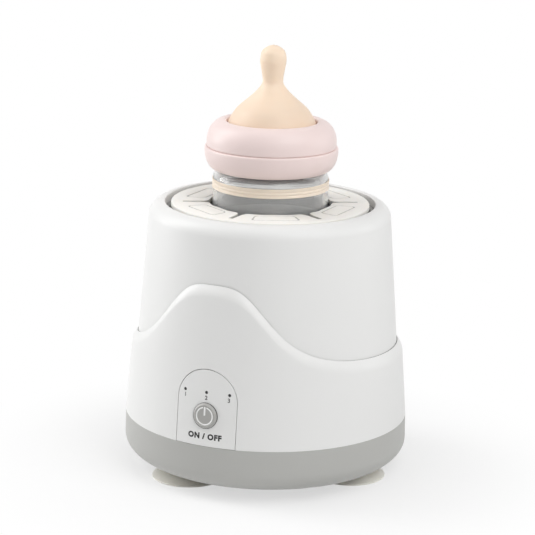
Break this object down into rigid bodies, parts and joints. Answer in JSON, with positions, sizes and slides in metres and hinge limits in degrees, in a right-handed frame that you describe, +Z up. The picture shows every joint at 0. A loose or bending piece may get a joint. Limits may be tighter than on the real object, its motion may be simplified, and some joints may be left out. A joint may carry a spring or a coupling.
{
  "type": "electric bottle shaker",
  "caption": "Electric bottle shaker: a tapered white drum on a grey base with suction feet turns a soft-petalled cup that holds a feeding bottle; power button in front.",
  "frame": {"origin": "on the table, under the middle of the base", "axes": "+Z up along the bottle, -Y towards the front with the power button, +X to the right"},
  "size_m": [0.1292, 0.1295, 0.194],
  "materials": {
    "white_shell": "satin white moulding",
    "grey_base": "satin grey moulding",
    "foot_silicone": "translucent beige silicone",
    "button_grey": "satin grey with a white power sign",
    "black_plastic": "matt black moulding",
    "green_board": "solder mask",
    "steel": "zinc plated",
    "clear_pipe": "smoky clear moulding",
    "lamp": "clear lens",
    "grip_silicone": "matt cream silicone",
    "grey_ring": "satin grey moulding",
    "grey_cup": "matt grey moulding",
    "grey_rubber": "matt grey silicone",
    "gear_plastic": "natural acetal",
    "brass": "machined",
    "motor_steel": "plated can",
    "deck_plastic": "grey moulding",
    "cell_wrap": "shrink wrap",
    "socket_steel": "stamped shell",
    "bottle_glass": "clear glass",
    "cream_band": "cream silicone",
    "pink_collar": "satin pale pink moulding",
    "teat_silicone": "translucent amber silicone"
  },
  "bodies": {
    "housing": {"base_tray": "grey_base", "wave_skirt": "white_shell", "upper_housing": "white_shell", "control_panel": "white_shell", "foot_left": "foot_silicone", "foot_right": "foot_silicone", "foot_rear": "foot_silicone", "push_switch": "black_plastic", "main_board": "green_board", "board_screws": "steel", "light_pipe_1": "clear_pipe", "light_pipe_2": "clear_pipe", "light_pipe_3": "clear_pipe", "lamp_1": "lamp", "lamp_2": "lamp", "lamp_3": "lamp", "guide_ring": "grey_ring", "guide_screws": "steel", "bearing_outer": "steel", "bearing_balls": "steel", "motor_can": "motor_steel", "motor_cap": "black_plastic", "motor_screws": "steel", "drive_deck": "deck_plastic", "deck_screws": "steel", "battery_holder": "black_plastic", "holder_screw": "steel", "battery_cell_1": "cell_wrap", "battery_cell_2": "cell_wrap", "charge_board": "green_board", "charge_screws": "steel", "charge_socket": "socket_steel", "housing_screws": "steel"},
    "rotor": {"bottle_cup": "grey_cup", "cup_funnel": "grey_cup", "cup_plate": "grey_cup", "cup_pad": "grey_rubber", "flange_ring": "grey_ring", "flange_screws": "steel", "grip_ring": "grip_silicone", "driven_gear": "gear_plastic", "gear_screws": "steel", "spindle": "steel", "spindle_clip": "steel", "bearing_inner": "steel"},
    "pinion": {"drive_pinion": "brass", "motor_shaft": "steel"},
    "button": {"power_button": "button_grey", "switch_stem": "black_plastic"},
    "bottle": {"bottle_body": "bottle_glass", "neck_band": "cream_band"},
    "cap": {"teat": "teat_silicone"},
    "collar": {"collar_lower": "pink_collar", "collar_upper": "pink_collar"}
  },
  "joints": [
    {"name": "cup_spin", "type": "hinge", "parent": "housing", "child": "rotor", "pos_m": [0, 0, 0.0115], "axis": [0, 0, 1], "continuous": true},
    {"name": "pinion_spin", "type": "hinge", "parent": "housing", "child": "pinion", "pos_m": [0.04125, 0, 0.019], "axis": [0, 0, 1], "continuous": true},
    {"name": "button_press", "type": "slide", "parent": "housing", "child": "button", "axis": [0, 0.9969, -0.0785], "range_m": [0, 0.0006], "stiffness_N_per_m": 2500},
    {"name": "bottle_lift", "type": "slide", "parent": "rotor", "child": "bottle", "axis": [0, 0, 1], "range_m": [0, 0.105]},
    {"name": "cap_lift", "type": "slide", "parent": "bottle", "child": "cap", "axis": [0, 0, 1], "range_m": [0, 0.06]},
    {"name": "collar_turn", "type": "hinge", "parent": "cap", "child": "collar", "pos_m": [0, 0, 0.15], "axis": [0, 0, 1], "range_deg": [0, 360]}
  ],
  "couplings": [
    {"joint": "pinion_spin", "follows": "cup_spin", "ratio": -3.5833}
  ]
}
